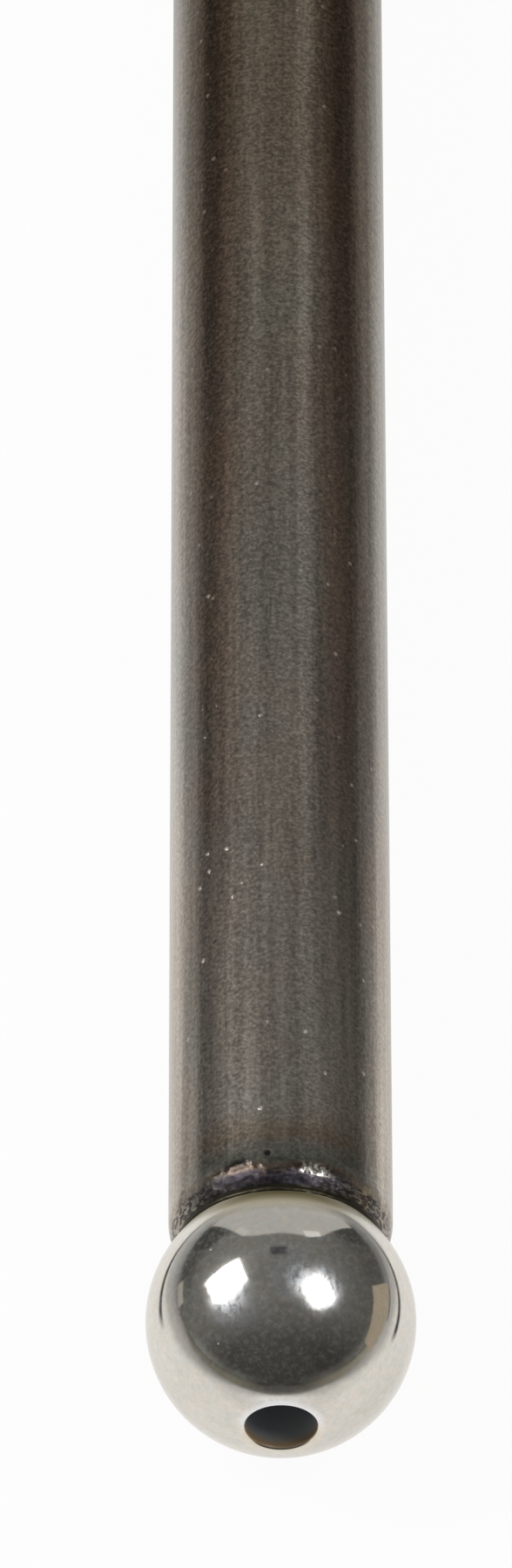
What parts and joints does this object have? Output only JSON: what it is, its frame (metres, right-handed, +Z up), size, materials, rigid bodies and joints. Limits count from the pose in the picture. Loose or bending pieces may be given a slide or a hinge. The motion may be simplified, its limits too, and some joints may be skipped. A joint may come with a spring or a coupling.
{
  "type": "engine pushrod",
  "caption": "Straight hollow steel engine pushrod with a polished, drilled ball welded to each end; carries lifter motion and oil up to the rocker arm.",
  "frame": {"origin": "centre of the lifter-end ball, which is the ball in the picture", "axes": "+Y along the rod, from the lifter-end ball to the rocker-end ball; +Z up as the rod lies on a table"},
  "size_m": [0.0096, 0.1976, 0.0096],
  "materials": {
    "tube_steel": "satin",
    "ball_steel": "polished"
  },
  "bodies": {
    "root": {"tube": "tube_steel", "lifter_end_ball": "ball_steel", "rocker_end_ball": "ball_steel"}
  },
  "joints": []
}
